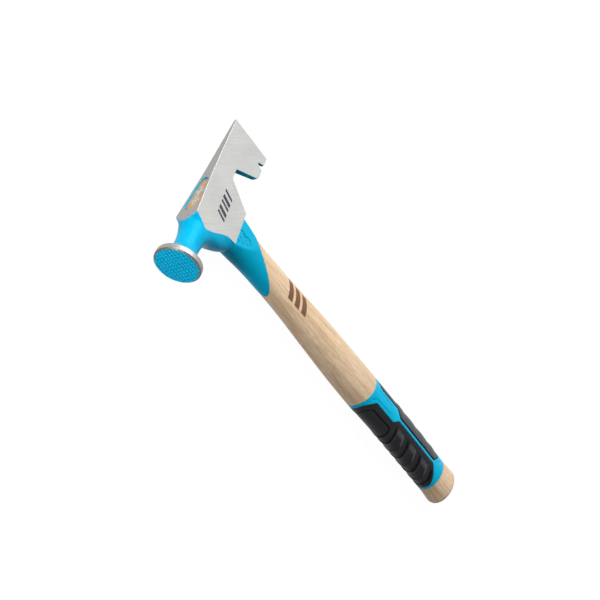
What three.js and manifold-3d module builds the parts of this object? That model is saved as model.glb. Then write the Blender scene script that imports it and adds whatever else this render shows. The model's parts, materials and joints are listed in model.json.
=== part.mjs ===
// Roofing hatchet, lying on its cheek: wooden handle, wedged steel head, two-part moulded grip.
//
// Millimetres. +X runs along the handle from the butt to the top of the head, +Y points from the
// cutting edge to the striking face, and +Z stands square to the cheeks. The origin is on the
// handle's axis at the flat end of the butt. Angles round the handle start at the striking-face
// side (+Y) and grow towards the upper cheek (+Z).

import * as THREE from 'three';
import { mergeVertices } from 'three/addons/utils/BufferGeometryUtils.js';
import Module from 'manifold-3d';

// ---------------------------------------------------------------- driving dimensions

const LENGTH = 355;              // butt end to the ground top of the head
const GAP = 0.3;                 // room left between pieces that touch
const WRAP_GAP = 0.4;            // the same round pieces that wrap the handle in facets

const HEAD_HEIGHT = 42.8;        // top of the head to its underside
const HEAD_BOTTOM = LENGTH - HEAD_HEIGHT;
const EDGE_Y = -79;              // cutting edge
const EDGE_BEVEL = 1.2;          // width of the sharpened bevel
const EDGE_HALF = 0.25;          // half thickness left at the cutting edge
const BLADE_HEIGHT = 41;         // top of the head to the underside of the blade
const CHEEK_AT_EDGE = 0.95;      // half thickness behind the bevel
const CHEEK_SLOPE = 0.068;       // growth of the half thickness per mm towards the face
const EYE_SLOPE = 0.05;          // extra growth from the front of the blade onwards
const BLADE_FRONT_Y = -20;       // where the blade runs into the cheeks
const BLADE_THINNING = 0.003;    // how much thinner the blade is per mm below the top
const CHEEK_FRONT_Y = 31;        // the cheek grinding planes end beyond this

const FACE_Y = 62.3;             // striking face
const FACE_RADIUS = 17.6;
const FACE_DROP = 12.6;          // top of the head to the axis of the striking face
const FACE_CHAMFER = { radial: 1.7, axial: 1.4 };
const RIM_WIDTH = 4.3;           // machined rim behind the chamfer
const RIM_BACK = FACE_Y - FACE_CHAMFER.axial - RIM_WIDTH;
const RIM_ROUND = 0.7;
const NECK_RADIUS = 9.15;

const EYE_FRONT = { y: 11.2, radius: 6.6 };   // the eye is egg-shaped: two arcs and their tangents
const EYE_BACK = { y: -11.3, radius: 3.7 };
const TENON_RECESS = 1;          // tenon end below the top of the head
const EYE_TOP = LENGTH - TENON_RECESS;

const KERF = { depth: 30, thickness: 2.2, from: -6.8, to: 13, tip: 0.8 };
const CROSS = { depth: 16, thickness: 2.4, half: 4.2, tip: 0.8, front: 8.2, rear: -1.7 };

const OVAL_RATIO = 0.77;         // handle thickness over its width
const BUTT_ROUND = 4.4;          // rounding at the edge of the butt
const FACET_INSET = 0.25;        // neck flats lie this far inside the cheeks, right under the head
const FACET_SLOPE = 0.2;         // how fast the flats run out into the oval

const GUARD = { thickness: 1, mid: 285, lean: 21.6, sweep: 4.1 };
const GRIP = { low: 20.8, high: 131, tongue: 3, thickness: 2.4, floor: 1.2, padRelief: 0.35 };
const SCALLOP = { pitch: 19, height: 0.7, valley: 46, from: 36, to: 96, fade: 6 };

// half width of the handle and its offset towards the striking face, at stations along it
const HANDLE_STATIONS = [
  { x: 0, half: 17.6, offset: -0.5 },
  { x: 12, half: 16.7, offset: -0.6 },
  { x: 40, half: 16.7, offset: -0.7 },
  { x: 95, half: 16.9, offset: -0.7 },
  { x: 131, half: 17.2, offset: 0 },
  { x: 165, half: 16.8, offset: 0.2 },
  { x: 205, half: 15.5, offset: 0.1 },
  { x: 237, half: 14, offset: 0.4 },
  { x: 268, half: 13.4, offset: 1.2 },
  { x: 290, half: 13.8, offset: 1.9 },
  { x: 303, half: 15.2, offset: 1.9 },
  { x: 312, half: 16.4, offset: 1.4 },
];

// half angle that each grip pad covers, from its lower end to its upper end
const FRONT_PAD = [
  { x: 23.2, half: 26 },
  { x: 26.3, half: 48 },
  { x: 30.8, half: 67 },
  { x: 35.5, half: 83 },
  { x: 91.4, half: 83 },
  { x: 96.6, half: 65 },
  { x: 122.2, half: 65 },
  { x: 127.5, half: 42 },
  { x: 130.2, half: 25 },
];
const BACK_PAD = [
  { x: 26.5, half: 38 },
  { x: 29.5, half: 60 },
  { x: 35.8, half: 89 },
  { x: 91.4, half: 89 },
  { x: 97.7, half: 68 },
  { x: 123.1, half: 68 },
  { x: 127.2, half: 52 },
  { x: 129.4, half: 25 },
];

const AROUND = 32;               // sides of the round sections
const SLEEVE_STEPS = 10;         // steps along a sleeve

// ---------------------------------------------------------------- solids

const wasm = await Module();
wasm.setup();

// A closed three.js geometry as a manifold solid.
function solid(geometry) {
  const bare = geometry.clone();
  bare.deleteAttribute('normal');
  bare.deleteAttribute('uv');
  const merged = mergeVertices(bare, 1e-4);
  return new wasm.Manifold(new wasm.Mesh({
    numProp: 3,
    vertProperties: new Float32Array(merged.attributes.position.array),
    triVerts: new Uint32Array(merged.index.array),
  }));
}

// A manifold solid as a named three.js mesh.
function mesh(name, body, material) {
  const { numProp, vertProperties, triVerts } = body.getMesh();
  const positions = [];
  for (let i = 0; i < vertProperties.length; i += numProp) {
    positions.push(vertProperties[i], vertProperties[i + 1], vertProperties[i + 2]);
  }
  const geometry = new THREE.BufferGeometry();
  geometry.setAttribute('position', new THREE.Float32BufferAttribute(positions, 3));
  geometry.setIndex([...triVerts]);
  geometry.computeVertexNormals();
  const made = new THREE.Mesh(geometry, material);
  made.name = name;
  return made;
}

// A closed surface through rings of points. The first and last rings are capped by a strip
// from one half of the ring to the other, or joined to each other where the piece is a sleeve.
function gridSolid(rings, joined = false) {
  const count = rings[0].length;
  const positions = rings.flat(2);
  const index = [];
  const spans = joined ? rings.length : rings.length - 1;
  for (let i = 0; i < spans; i += 1) {
    const here = i * count;
    const next = ((i + 1) % rings.length) * count;
    for (let j = 0; j < count; j += 1) {
      const k = (j + 1) % count;
      index.push(here + j, here + k, next + k, here + j, next + k, next + j);
    }
  }
  if (!joined) {
    for (const [ring, flip] of [[0, true], [rings.length - 1, false]]) {
      for (let j = 0; j < count / 2 - 1; j += 1) {
        const corners = [j, j + 1, count - 2 - j, count - 1 - j].map((k) => ring * count + k);
        const [p, q, r, s] = flip ? corners.reverse() : corners;
        index.push(p, q, r, p, r, s);
      }
    }
  }
  const geometry = new THREE.BufferGeometry();
  geometry.setAttribute('position', new THREE.Float32BufferAttribute(positions, 3));
  geometry.setIndex(index);
  return solid(geometry);
}

// A prism along Z from an outline drawn in X and Y.
function prism(shape, low, high, curveSegments = 8) {
  const geometry = new THREE.ExtrudeGeometry(shape, {
    depth: high - low,
    bevelEnabled: false,
    curveSegments,
  });
  geometry.translate(0, 0, low);
  return solid(geometry);
}

// Straight-line value between stations, by their x.
function between(stations, x, key) {
  const last = stations[stations.length - 1];
  if (x <= stations[0].x) return stations[0][key];
  if (x >= last.x) return last[key];
  const i = stations.findIndex((station) => station.x > x);
  const [a, b] = [stations[i - 1], stations[i]];
  return THREE.MathUtils.mapLinear(x, a.x, b.x, a[key], b[key]);
}

// Smooth curve through the handle's stations.
const handleCurves = {};
for (const key of ['half', 'offset']) {
  const points = HANDLE_STATIONS.map((station) => new THREE.Vector3(station.x, station[key], 0));
  handleCurves[key] = new THREE.CatmullRomCurve3(points, false, 'centripetal').getPoints(240);
}

function along(key, x) {
  const points = handleCurves[key];
  const i = points.findIndex((point) => point.x >= x);
  if (i === -1) return points[points.length - 1].y;
  if (i === 0) return points[0].y;
  const [a, b] = [points[i - 1], points[i]];
  return THREE.MathUtils.mapLinear(x, a.x, b.x, a.y, b.y);
}

// A point of the handle's surface, or at a depth below it. Its flats under the head follow the
// cheeks and run out into the oval.
function onHandle(x, degrees, depth) {
  const angle = THREE.MathUtils.degToRad(degrees);
  const half = along('half', x);
  const y = along('offset', x) + (half - depth) * Math.cos(angle);
  const runOut = FACET_SLOPE * Math.max(0, HEAD_BOTTOM - x);
  const flat = cheekHalf(y, HEAD_HEIGHT) - FACET_INSET + runOut - depth;
  const z = (half * OVAL_RATIO - depth) * Math.sin(angle);
  return [x, y, THREE.MathUtils.clamp(z, -flat, flat)];
}

// A closed sleeve round the handle between two end curves and two depths.
function sleeve(low, high, inner, outer, steps) {
  const rings = [];
  for (const [depth, way] of [[outer, 1], [inner, -1]]) {
    for (let i = 0; i <= steps; i += 1) {
      const t = way > 0 ? i / steps : 1 - i / steps;
      const ring = [];
      for (let j = 0; j < AROUND; j += 1) {
        const degrees = (360 * j) / AROUND;
        ring.push(onHandle(THREE.MathUtils.lerp(low(degrees), high(degrees), t), degrees, depth));
      }
      rings.push(ring);
    }
  }
  return gridSolid(rings, true);
}

// A closed pad on the handle, centred on one side of it. Its half angle follows the stations,
// and it grows by a margin on every side where it is used to cut its own pocket.
function pad(stations, centre, inner, outer, margin = 0, swell = () => 0) {
  const columns = 10;
  const steps = 11;
  const closest = 0.6;
  const first = stations[0].x;
  const last = stations[stations.length - 1].x;
  const cuts = stations.map((station) => station.x);
  for (let i = 1; i < steps; i += 1) cuts.push(first + ((last - first) * i) / steps);
  cuts.sort((a, b) => a - b);
  const rings = [];
  for (const x of cuts.filter((value, i) => i === 0 || value - cuts[i - 1] > closest)) {
    const spread = THREE.MathUtils.radToDeg(margin / (OVAL_RATIO * along('half', x)));
    const half = between(stations, x, 'half') + spread;
    const stretch = THREE.MathUtils.mapLinear(x, first, last, -margin, margin);
    const ring = [];
    for (let j = 0; j <= columns; j += 1) {
      const turn = half * ((2 * j) / columns - 1);
      ring.push(onHandle(x + stretch, centre + turn, outer - swell(x, turn)));
    }
    for (let j = columns; j >= 0; j -= 1) {
      ring.push(onHandle(x + stretch, centre + half * ((2 * j) / columns - 1), inner));
    }
    rings.push(ring);
  }
  return gridSolid(rings);
}

// ---------------------------------------------------------------- head

// Half thickness of the ground cheeks across the head, at a drop below its top.
function cheekHalf(y, drop) {
  const bend = THREE.MathUtils.clamp((BLADE_FRONT_Y - y) / 25, 0, 1);
  const blade = CHEEK_AT_EDGE + CHEEK_SLOPE * (y - EDGE_Y);
  const top = blade + EYE_SLOPE * Math.max(0, y - BLADE_FRONT_Y);
  return top * (1 - BLADE_THINNING * drop * bend);
}

// The wedge between the two ground cheeks, from the cutting edge to the neck.
function cheekWedge() {
  const stations = [EDGE_Y, EDGE_Y + EDGE_BEVEL];
  for (let y = -70; y <= CHEEK_FRONT_Y; y += 10) stations.push(y);
  stations.push(CHEEK_FRONT_Y);
  const rings = stations.map((y) => {
    const edge = y === EDGE_Y;
    const top = edge ? EDGE_HALF : cheekHalf(y, 0);
    const bottom = edge ? EDGE_HALF : cheekHalf(y, HEAD_HEIGHT);
    return [
      [LENGTH, y, top],
      [LENGTH, y, -top],
      [HEAD_BOTTOM, y, -bottom],
      [HEAD_BOTTOM, y, bottom],
    ];
  });
  return gridSolid(rings);
}

// One section of the rounded forging that runs from the eye into the neck: widest on the
// axis of the striking face, with its own reach above and below that axis.
function forgedSection({ y, up, down, half, fullness }) {
  const ring = [];
  for (let j = 0; j < AROUND; j += 1) {
    const angle = (2 * Math.PI * j) / AROUND;
    const c = Math.cos(angle);
    const s = Math.sin(angle);
    const reach = s > 0 ? up : down;
    ring.push([
      LENGTH - FACE_DROP + reach * Math.sign(s) * Math.abs(s) ** (2 / fullness),
      y,
      half * Math.sign(c) * Math.abs(c) ** (2 / fullness),
    ]);
  }
  return ring;
}

function forgedNeck() {
  const sections = [
    { y: -8, up: 40, down: 60, half: 12, fullness: 3 },
    { y: 13.8, up: 40, down: 45, half: 10.9, fullness: 2 },
    { y: 16.1, up: 38, down: 35.5, half: 10.9, fullness: 2 },
    { y: 20, up: 36, down: 29.3, half: 10.85, fullness: 2 },
    { y: 23.6, up: 28, down: 25, half: 10.75, fullness: 2 },
    { y: 26.3, up: 16.5, down: 20.7, half: 10.65, fullness: 2 },
    { y: 29.3, up: 12.7, down: 15.2, half: 10.6, fullness: 2 },
    { y: 32, up: 11.2, down: 12.1, half: 10.5, fullness: 2 },
    { y: 35.5, up: 10, down: 10, half: 10, fullness: 2 },
    { y: 39.5, up: 9.4, down: 9.6, half: 9.4, fullness: 2 },
    { y: 44.5, up: NECK_RADIUS, down: NECK_RADIUS, half: NECK_RADIUS, fullness: 2 },
    { y: 49.5, up: 9.9, down: 9.9, half: 9.9, fullness: 2 },
    { y: 53.5, up: 12.2, down: 12.2, half: 12.2, fullness: 2 },
    { y: RIM_BACK + 0.5, up: 15.6, down: 15.6, half: 15.6, fullness: 2 },
  ];
  return gridSolid(sections.map(forgedSection));
}

// The round striking face with its machined rim, turned about the face's own axis.
function faceDisc() {
  const profile = [
    [0, 0],
    [FACE_RADIUS - RIM_ROUND, 0],
    [FACE_RADIUS, RIM_ROUND],
    [FACE_RADIUS, RIM_WIDTH],
    [FACE_RADIUS - FACE_CHAMFER.radial, RIM_WIDTH + FACE_CHAMFER.axial],
    [0, RIM_WIDTH + FACE_CHAMFER.axial],
  ].map(([radius, y]) => new THREE.Vector2(radius, y));
  const disc = new THREE.LatheGeometry(profile, 48);
  disc.translate(LENGTH - FACE_DROP, RIM_BACK, 0);
  return solid(disc);
}

// Everything that the drop forging keeps between its top and its underside.
function grindingBlock() {
  const block = new THREE.Shape([
    [HEAD_BOTTOM, -30],
    [LENGTH, -30],
    [LENGTH, FACE_Y + 5],
    [HEAD_BOTTOM, FACE_Y + 5],
  ].map(([x, y]) => new THREE.Vector2(x, y)));
  return prism(block, -30, 30);
}

// The hook-shaped notch under the blade, cut right through.
function bladeNotch() {
  const drop = (depth) => LENGTH - depth;
  const outline = new THREE.Shape();
  outline.moveTo(drop(60), -57);
  outline.lineTo(drop(BLADE_HEIGHT), -56.4);
  outline.quadraticCurveTo(drop(BLADE_HEIGHT - 0.4), -55.2, drop(37.7), -53.5);
  outline.lineTo(drop(19.6), -43.1);
  outline.quadraticCurveTo(drop(18.6), -42.2, drop(18.7), -41);
  outline.lineTo(drop(18.8), -32.3);
  outline.lineTo(drop(HEAD_HEIGHT), -18.8);
  outline.lineTo(drop(60), -9);
  return prism(outline, -20, 20);
}

// Relief that lifts the blade's underside, with the V-shaped nail slot in it.
function bladeUnderside() {
  const drop = (depth) => LENGTH - depth;
  const outline = new THREE.Shape();
  outline.moveTo(drop(60), -90);
  outline.lineTo(drop(BLADE_HEIGHT), -90);
  outline.lineTo(drop(BLADE_HEIGHT), -70.6);
  outline.lineTo(drop(36.6), -68.7);
  outline.absarc(drop(36.4), -67.4, 1.3, -Math.PI / 2, Math.PI / 2, false);
  outline.lineTo(drop(36.9), -66.1);
  outline.lineTo(drop(BLADE_HEIGHT), -64.5);
  outline.lineTo(drop(BLADE_HEIGHT), -50);
  outline.lineTo(drop(60), -50);
  return prism(outline, -20, 20);
}

// The egg-shaped outline of the eye or of the tenon, as a closed ring round the handle's axis.
function eggRing(x, shrink) {
  const ring = [];
  const span = EYE_FRONT.y - EYE_BACK.y;
  const lean = Math.asin((EYE_FRONT.radius - EYE_BACK.radius) / span);
  const arc = (end, from, to) => {
    const steps = 10;
    for (let i = 0; i <= steps; i += 1) {
      const angle = from + ((to - from) * i) / steps;
      const radius = end.radius - shrink;
      ring.push([x, end.y + radius * Math.cos(angle), radius * Math.sin(angle)]);
    }
  };
  arc(EYE_FRONT, -Math.PI / 2 - lean, Math.PI / 2 + lean);
  arc(EYE_BACK, Math.PI / 2 + lean, (3 * Math.PI) / 2 - lean);
  return ring;
}

function eggPrism(low, high, shrink) {
  return gridSolid([eggRing(low, shrink), eggRing(high, shrink)]);
}

function makeHead(material) {
  const wedge = cheekWedge();
  const blade = wedge.subtract(sideOf(EYE_FRONT.y, 1));
  const ground = forgedNeck().intersect(wedge).intersect(grindingBlock());
  const neck = forgedNeck().subtract(sideOf(CHEEK_FRONT_Y - 1, -1));
  const body = blade
    .add(ground)
    .add(neck)
    .add(faceDisc())
    .subtract(bladeNotch())
    .subtract(bladeUnderside())
    .subtract(eggPrism(HEAD_BOTTOM - 5, LENGTH + 5, 0));
  return mesh('head', body, material);
}

// A large box on one side of a plane square to Y.
function sideOf(y, way) {
  const reach = 200;
  const box = new THREE.BoxGeometry(reach, reach, reach);
  box.translate(LENGTH, y + (way * reach) / 2, 0);
  return solid(box);
}

// ---------------------------------------------------------------- wedges

// A flat wedge driven in along -X, thick at the top, standing in the Y or the Z direction.
function wedge({ depth, thickness, tip }, from, to, acrossY, grow = 0) {
  const section = (x, thick) => {
    const half = thick / 2 + grow;
    const corners = [[from - grow, -half], [to + grow, -half], [to + grow, half], [from - grow, half]];
    return corners.map(([span, side]) => (acrossY ? [x, span, side] : [x, -side, span]));
  };
  return gridSolid([section(EYE_TOP - depth - grow, tip), section(EYE_TOP + grow * 10, thickness)]);
}

const kerfBody = (grow = 0) => wedge(KERF, KERF.from, KERF.to, true, grow);
const crossBody = (y, grow = 0) => wedge(CROSS, -CROSS.half, CROSS.half, false, grow).translate(0, y, 0);

function makeWedges(plastic, steel) {
  const kerf = kerfBody().subtract(crossBody(CROSS.front, GAP)).subtract(crossBody(CROSS.rear, GAP));
  return [
    mesh('kerf_wedge', kerf, plastic),
    mesh('cross_wedge_front', crossBody(CROSS.front), steel),
    mesh('cross_wedge_rear', crossBody(CROSS.rear), steel),
  ];
}

// ---------------------------------------------------------------- neck guard and grip

const cosine = (degrees) => Math.cos(THREE.MathUtils.degToRad(degrees));

// The guard's lower end leans: it runs furthest down the handle on the striking-face side.
function guardEnd(degrees) {
  const c = cosine(degrees);
  return GUARD.mid - GUARD.lean * c - GUARD.sweep * c ** 2;
}
const guardTop = () => HEAD_BOTTOM - GAP;
const gripLow = () => GRIP.low;
const gripHigh = (degrees) => GRIP.high + GRIP.tongue * Math.max(0, cosine(degrees)) ** 2;

// Finger scallops stand out of the back pad, fading towards its edges.
function scallop(x, turn) {
  const inward = Math.min(x - SCALLOP.from, SCALLOP.to - x);
  const reach = THREE.MathUtils.clamp(inward / SCALLOP.fade, 0, 1);
  const wave = Math.abs(Math.sin((Math.PI * (x - SCALLOP.valley)) / SCALLOP.pitch));
  return SCALLOP.height * reach * wave * cosine(THREE.MathUtils.clamp(turn, -90, 90));
}

const frontPad = (grow = 0) => pad(
  FRONT_PAD, 0, GRIP.floor + grow, grow ? -3 : GRIP.padRelief, grow,
);
const backPad = (grow = 0) => pad(
  BACK_PAD, 180, GRIP.floor + grow, grow ? -3 : 0, grow, grow ? undefined : scallop,
);

function makeGuard(material) {
  const wall = sleeve(guardEnd, guardTop, GUARD.thickness, 0, SLEEVE_STEPS);
  return mesh('overstrike_guard', wall, material);
}

function makeGrip(blue, black) {
  const base = sleeve(gripLow, gripHigh, GRIP.thickness, 0, SLEEVE_STEPS)
    .subtract(frontPad(WRAP_GAP))
    .subtract(backPad(WRAP_GAP));
  return [
    mesh('grip_sleeve', base, blue),
    mesh('grip_pad_front', frontPad(), black),
    mesh('grip_pad_back', backPad(), black),
  ];
}

// ---------------------------------------------------------------- handle

function makeHandle(material) {
  const rings = [];
  for (let i = 0; i <= 3; i += 1) {
    const turn = (Math.PI / 2) * (i / 3);
    const x = BUTT_ROUND * (1 - Math.cos(turn));
    const depth = BUTT_ROUND * (1 - Math.sin(turn));
    rings.push(ringAt(x, depth));
  }
  const steps = 24;
  for (let i = 1; i <= steps; i += 1) {
    rings.push(ringAt(BUTT_ROUND + ((HEAD_BOTTOM - GAP - BUTT_ROUND) * i) / steps, 0));
  }
  const shaft = gridSolid(rings);
  const recess = (low, high, depth) => sleeve(low, high, depth, -3, SLEEVE_STEPS);
  const body = shaft
    .add(eggPrism(HEAD_BOTTOM - 4, EYE_TOP, GAP))
    .subtract(recess((a) => guardEnd(a) - WRAP_GAP, () => HEAD_BOTTOM + GAP, GUARD.thickness + WRAP_GAP))
    .subtract(recess((a) => gripLow(a) - GAP, (a) => gripHigh(a) + GAP, GRIP.thickness + WRAP_GAP))
    .subtract(kerfBody(GAP))
    .subtract(crossBody(CROSS.front, GAP))
    .subtract(crossBody(CROSS.rear, GAP));
  return mesh('handle', body, material);
}

function ringAt(x, depth) {
  return Array.from({ length: AROUND }, (_, j) => onHandle(x, (360 * j) / AROUND, depth));
}

// ---------------------------------------------------------------- assembly

function paint(color, roughness, metalness) {
  return new THREE.MeshStandardMaterial({ color, roughness, metalness });
}

const MATERIALS = {
  steel: paint(0xc9cac6, 0.35, 0.9),
  wood: paint(0xdcb98c, 0.6, 0),
  wedge: paint(0xb9c8cc, 0.5, 0.1),
  wedgeSteel: paint(0xc2c9cb, 0.35, 0.9),
  guard: paint(0x009fcb, 0.45, 0),
  blue: paint(0x00aee0, 0.5, 0),
  black: paint(0x26282c, 0.75, 0),
};

const hatchet = new THREE.Group();
hatchet.add(
  makeHead(MATERIALS.steel),
  makeHandle(MATERIALS.wood),
  ...makeWedges(MATERIALS.wedge, MATERIALS.wedgeSteel),
  makeGuard(MATERIALS.guard),
  ...makeGrip(MATERIALS.blue, MATERIALS.black),
);

export default hatchet;
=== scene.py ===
# Roofing hatchet lying on its cheek: forged head with a milled face, wedged wooden handle with a
# dipped neck guard, and a two-part moulded grip. Shapes are worked out in millimetres.
import json
import math
from contextlib import contextmanager

import bmesh
import bpy
import numpy as np
from mathutils import Euler, Matrix, Vector


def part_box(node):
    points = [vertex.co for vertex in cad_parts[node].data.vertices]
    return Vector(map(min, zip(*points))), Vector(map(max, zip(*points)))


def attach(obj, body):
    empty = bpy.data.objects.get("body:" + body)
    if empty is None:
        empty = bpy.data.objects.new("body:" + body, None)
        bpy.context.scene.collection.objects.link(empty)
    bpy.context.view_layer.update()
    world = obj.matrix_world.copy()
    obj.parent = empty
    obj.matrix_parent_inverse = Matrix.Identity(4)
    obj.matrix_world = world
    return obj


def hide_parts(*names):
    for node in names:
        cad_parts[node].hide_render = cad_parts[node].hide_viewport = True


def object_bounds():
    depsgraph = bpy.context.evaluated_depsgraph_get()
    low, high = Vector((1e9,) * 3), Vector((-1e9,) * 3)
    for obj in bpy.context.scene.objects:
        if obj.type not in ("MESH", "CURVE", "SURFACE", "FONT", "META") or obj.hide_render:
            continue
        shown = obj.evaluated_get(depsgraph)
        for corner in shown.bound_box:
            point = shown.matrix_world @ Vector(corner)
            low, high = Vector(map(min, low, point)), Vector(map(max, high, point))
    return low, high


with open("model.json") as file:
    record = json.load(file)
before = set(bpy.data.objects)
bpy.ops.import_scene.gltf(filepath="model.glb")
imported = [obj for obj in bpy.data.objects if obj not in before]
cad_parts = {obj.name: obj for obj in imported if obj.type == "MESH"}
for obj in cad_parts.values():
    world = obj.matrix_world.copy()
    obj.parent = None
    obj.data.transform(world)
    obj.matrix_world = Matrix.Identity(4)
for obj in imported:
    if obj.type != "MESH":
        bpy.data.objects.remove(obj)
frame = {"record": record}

CAD_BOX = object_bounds()
MM = 0.001

# ---------------------------------------- sizes


def node_box(node):
    """Low and high corner of a CAD part, in millimetres."""
    low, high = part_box(node)
    return np.array(low) / MM, np.array(high) / MM


MOUNTS = {m["name"]: np.array(m["pos_m"]) / MM for m in frame["record"]["mounts"]}
HEAD_LOW, HEAD_HIGH = node_box("head")
TOP = MOUNTS["head_top"][0]             # ground top of the head
BOTTOM = HEAD_LOW[0]                    # underside of the head
EDGE_Y = HEAD_LOW[1]                    # cutting edge
FACE_Y = HEAD_HIGH[1]                   # striking face
FACE_RADIUS = HEAD_HIGH[2]
FACE_X = HEAD_HIGH[0] - FACE_RADIUS     # axis of the striking face
EYE_TOP = node_box("kerf_wedge")[1][0]  # tenon end and wedges, just below the top
GUARD_TOP = BOTTOM - 0.03               # the guard runs up to the head
GRIP_LOW = node_box("grip_sleeve")[0][0]

AROUND = 160                            # points round the forging, the eye and the handle
ANGLES = 360 * np.arange(AROUND) / AROUND
SEAM = 0.06                             # room left between pieces that touch
CREST = 0.15                            # how far the striking face is crowned
CHAMFER_RADIUS = 15.9                   # inner edge of the chamfer round the face
RIM_FRONT, RIM_BACK = FACE_Y - 1.4, FACE_Y - 5.7
EDGE_BEVEL, EDGE_HALF = 1.2, 0.25       # length of the honed bevel, half width of its edge
CHEEK_AT_EDGE, CHEEK_SLOPE, EYE_SLOPE = 0.95, 0.068, 0.05
BLADE_FRONT_Y, BLADE_THINNING, CHEEK_FRONT_Y = -20, 0.003, 31
ARRIS = 0.2                             # broken edge round the ground top
BLADE_HEIGHT = 41                       # from the top down to the lower edge of the blade
TOOTH_PITCH, TOOTH_DEPTH = 2.87, 0.9    # of the milled striking face
EYE_FRONT, EYE_BACK = (11.2, 6.6), (-11.3, 3.7)     # y and radius of each end
EYE_RIM = 0.3                           # paint showing round the mouth of the eye
OVAL, BUTT_ROUND = 0.77, 4.4
FACET_INSET, FACET_SLOPE, FACET_BLEND = 0.25, 0.2, 0.7
GUARD_MID, GUARD_LEAN, GUARD_SWEEP, GUARD_WALL = 285, 21.6, 4.1, 1
GRIP_HIGH, GRIP_TONGUE, GRIP_WALL = 131, 3, 2.4
POCKET, PAD_WALL = 1.6, 1.2
SCALLOP_PITCH, SCALLOP_HEIGHT, SCALLOP_VALLEY = 19, 0.7, 46

# x, half width and offset towards the striking face, along the handle
HANDLE = [
    (0, 17.6, -0.5), (12, 16.7, -0.6), (40, 16.7, -0.7), (95, 16.9, -0.7), (131, 17.2, 0),
    (165, 16.8, 0.2), (205, 15.5, 0.1), (237, 14, 0.4), (268, 13.4, 1.2), (290, 13.8, 1.9),
    (303, 15.2, 1.9), (312, 16.4, 1.4),
]
# x and the half angle that each pad covers
FRONT_PAD = [
    (23.2, 26), (26.3, 48), (30.8, 67), (35.5, 83), (91.4, 83), (96.6, 65), (122.2, 65),
    (127.5, 42), (130.2, 25),
]
BACK_PAD = [
    (26.5, 38), (29.5, 60), (35.8, 89), (91.4, 89), (97.7, 68), (123.1, 68), (127.2, 52),
    (129.4, 25),
]
# sections of the forging from the eye to the face: y, reach up and down from the axis of the
# face, half width, fullness of the curve
FORGING = [
    (11.4, 46, 60, 12.5, 3.4), (13.8, 40, 45, 10.9, 2), (16.1, 38, 35.5, 10.9, 2),
    (20, 36, 29.3, 10.85, 2), (23.6, 28, 25, 10.75, 2), (26.3, 16.5, 20.7, 10.65, 2),
    (29.3, 12.7, 15.2, 10.6, 2), (32, 11.2, 12.1, 10.5, 2), (35.5, 10, 10, 10, 2),
    (39.5, 9.4, 9.6, 9.4, 2), (44.5, 9.15, 9.15, 9.15, 2), (49.5, 9.9, 9.9, 9.9, 2),
    (53.5, 12.2, 12.2, 12.2, 2), (55.4, 14.1, 14.1, 14.1, 2), (56.6, 15.9, 15.9, 15.9, 2),
]


def curve(points):
    """A smooth curve through points of x and value."""
    xs, ys = np.array(points, float).T
    run = np.diff(xs)
    rise = np.diff(ys) / run
    slope = np.empty_like(xs)
    slope[1:-1] = (rise[:-1] * run[1:] + rise[1:] * run[:-1]) / (run[:-1] + run[1:])
    slope[0], slope[-1] = rise[0], rise[-1]

    def at(x):
        x = np.clip(x, xs[0], xs[-1])
        i = np.clip(np.searchsorted(xs, x, "right") - 1, 0, len(run) - 1)
        t = (x - xs[i]) / run[i]
        here = (1 + 2 * t) * (1 - t) ** 2 * ys[i] + t * (1 - t) ** 2 * run[i] * slope[i]
        return here + t * t * (3 - 2 * t) * ys[i + 1] + t * t * (t - 1) * run[i] * slope[i + 1]

    return at


def outline(stations):
    """Half angle of a pad along x, with its corners a little rounded."""
    xs, halves = np.array(stations, float).T
    blur = 0.9

    def at(x):
        reach = np.linspace(-blur, blur, 9)
        near = np.clip(np.asarray(x, float)[..., None] + reach, xs[0], xs[-1])
        return np.interp(near, xs, halves).mean(-1)

    return at


half_width = curve([(x, half) for x, half, offset in HANDLE])
offset_y = curve([(x, offset) for x, half, offset in HANDLE])
front_half, back_half = outline(FRONT_PAD), outline(BACK_PAD)


def cos(degrees):
    return np.cos(np.radians(degrees))


def sin(degrees):
    return np.sin(np.radians(degrees))


def ramp(value, low, high):
    """Smooth step from zero at low to one at high."""
    t = np.clip((value - low) / (high - low), 0, 1)
    return t * t * (3 - 2 * t)


def on_handle(x, degrees, depth=0.0):
    """Points of the handle's surface, or at a depth below it."""
    x, degrees, depth = np.broadcast_arrays(*(np.asarray(v, float) for v in (x, degrees, depth)))
    half = half_width(x)
    y = offset_y(x) + (half - depth) * cos(degrees)
    flat = cheek_half(y, TOP - BOTTOM) - FACET_INSET + FACET_SLOPE * np.maximum(0, BOTTOM - x) - depth
    z = (half * OVAL - depth) * sin(degrees)
    over = np.clip(0.5 + 0.5 * (np.abs(z) - flat) / FACET_BLEND, 0, 1)
    z = np.sign(z) * (np.abs(z) * (1 - over) + flat * over - FACET_BLEND * over * (1 - over))
    return np.stack([x, y, z], -1)


FINE = np.arange(0, 181, 1.0)


def running_length(points):
    """Length along a line of points, from its start to each of them."""
    return np.concatenate([[0], np.cumsum(np.linalg.norm(np.diff(points, axis=0), axis=1))])


def arc_of(x, degrees):
    """Length along the surface from the front line to an angle, at one x."""
    lengths = running_length(on_handle(x, FINE))
    return np.sign(degrees) * np.interp(np.abs(degrees), FINE, lengths)


def angle_of(x, arc):
    """The angle at which that length ends: the reverse of arc_of."""
    lengths = running_length(on_handle(x, FINE))
    return np.sign(arc) * np.interp(np.abs(arc), lengths, FINE)


def as_arcs(x_and_angle):
    """Points given as x and angle, as points of x and length along the surface."""
    return [(x, float(arc_of(x, angle))) for x, angle in x_and_angle]


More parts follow.
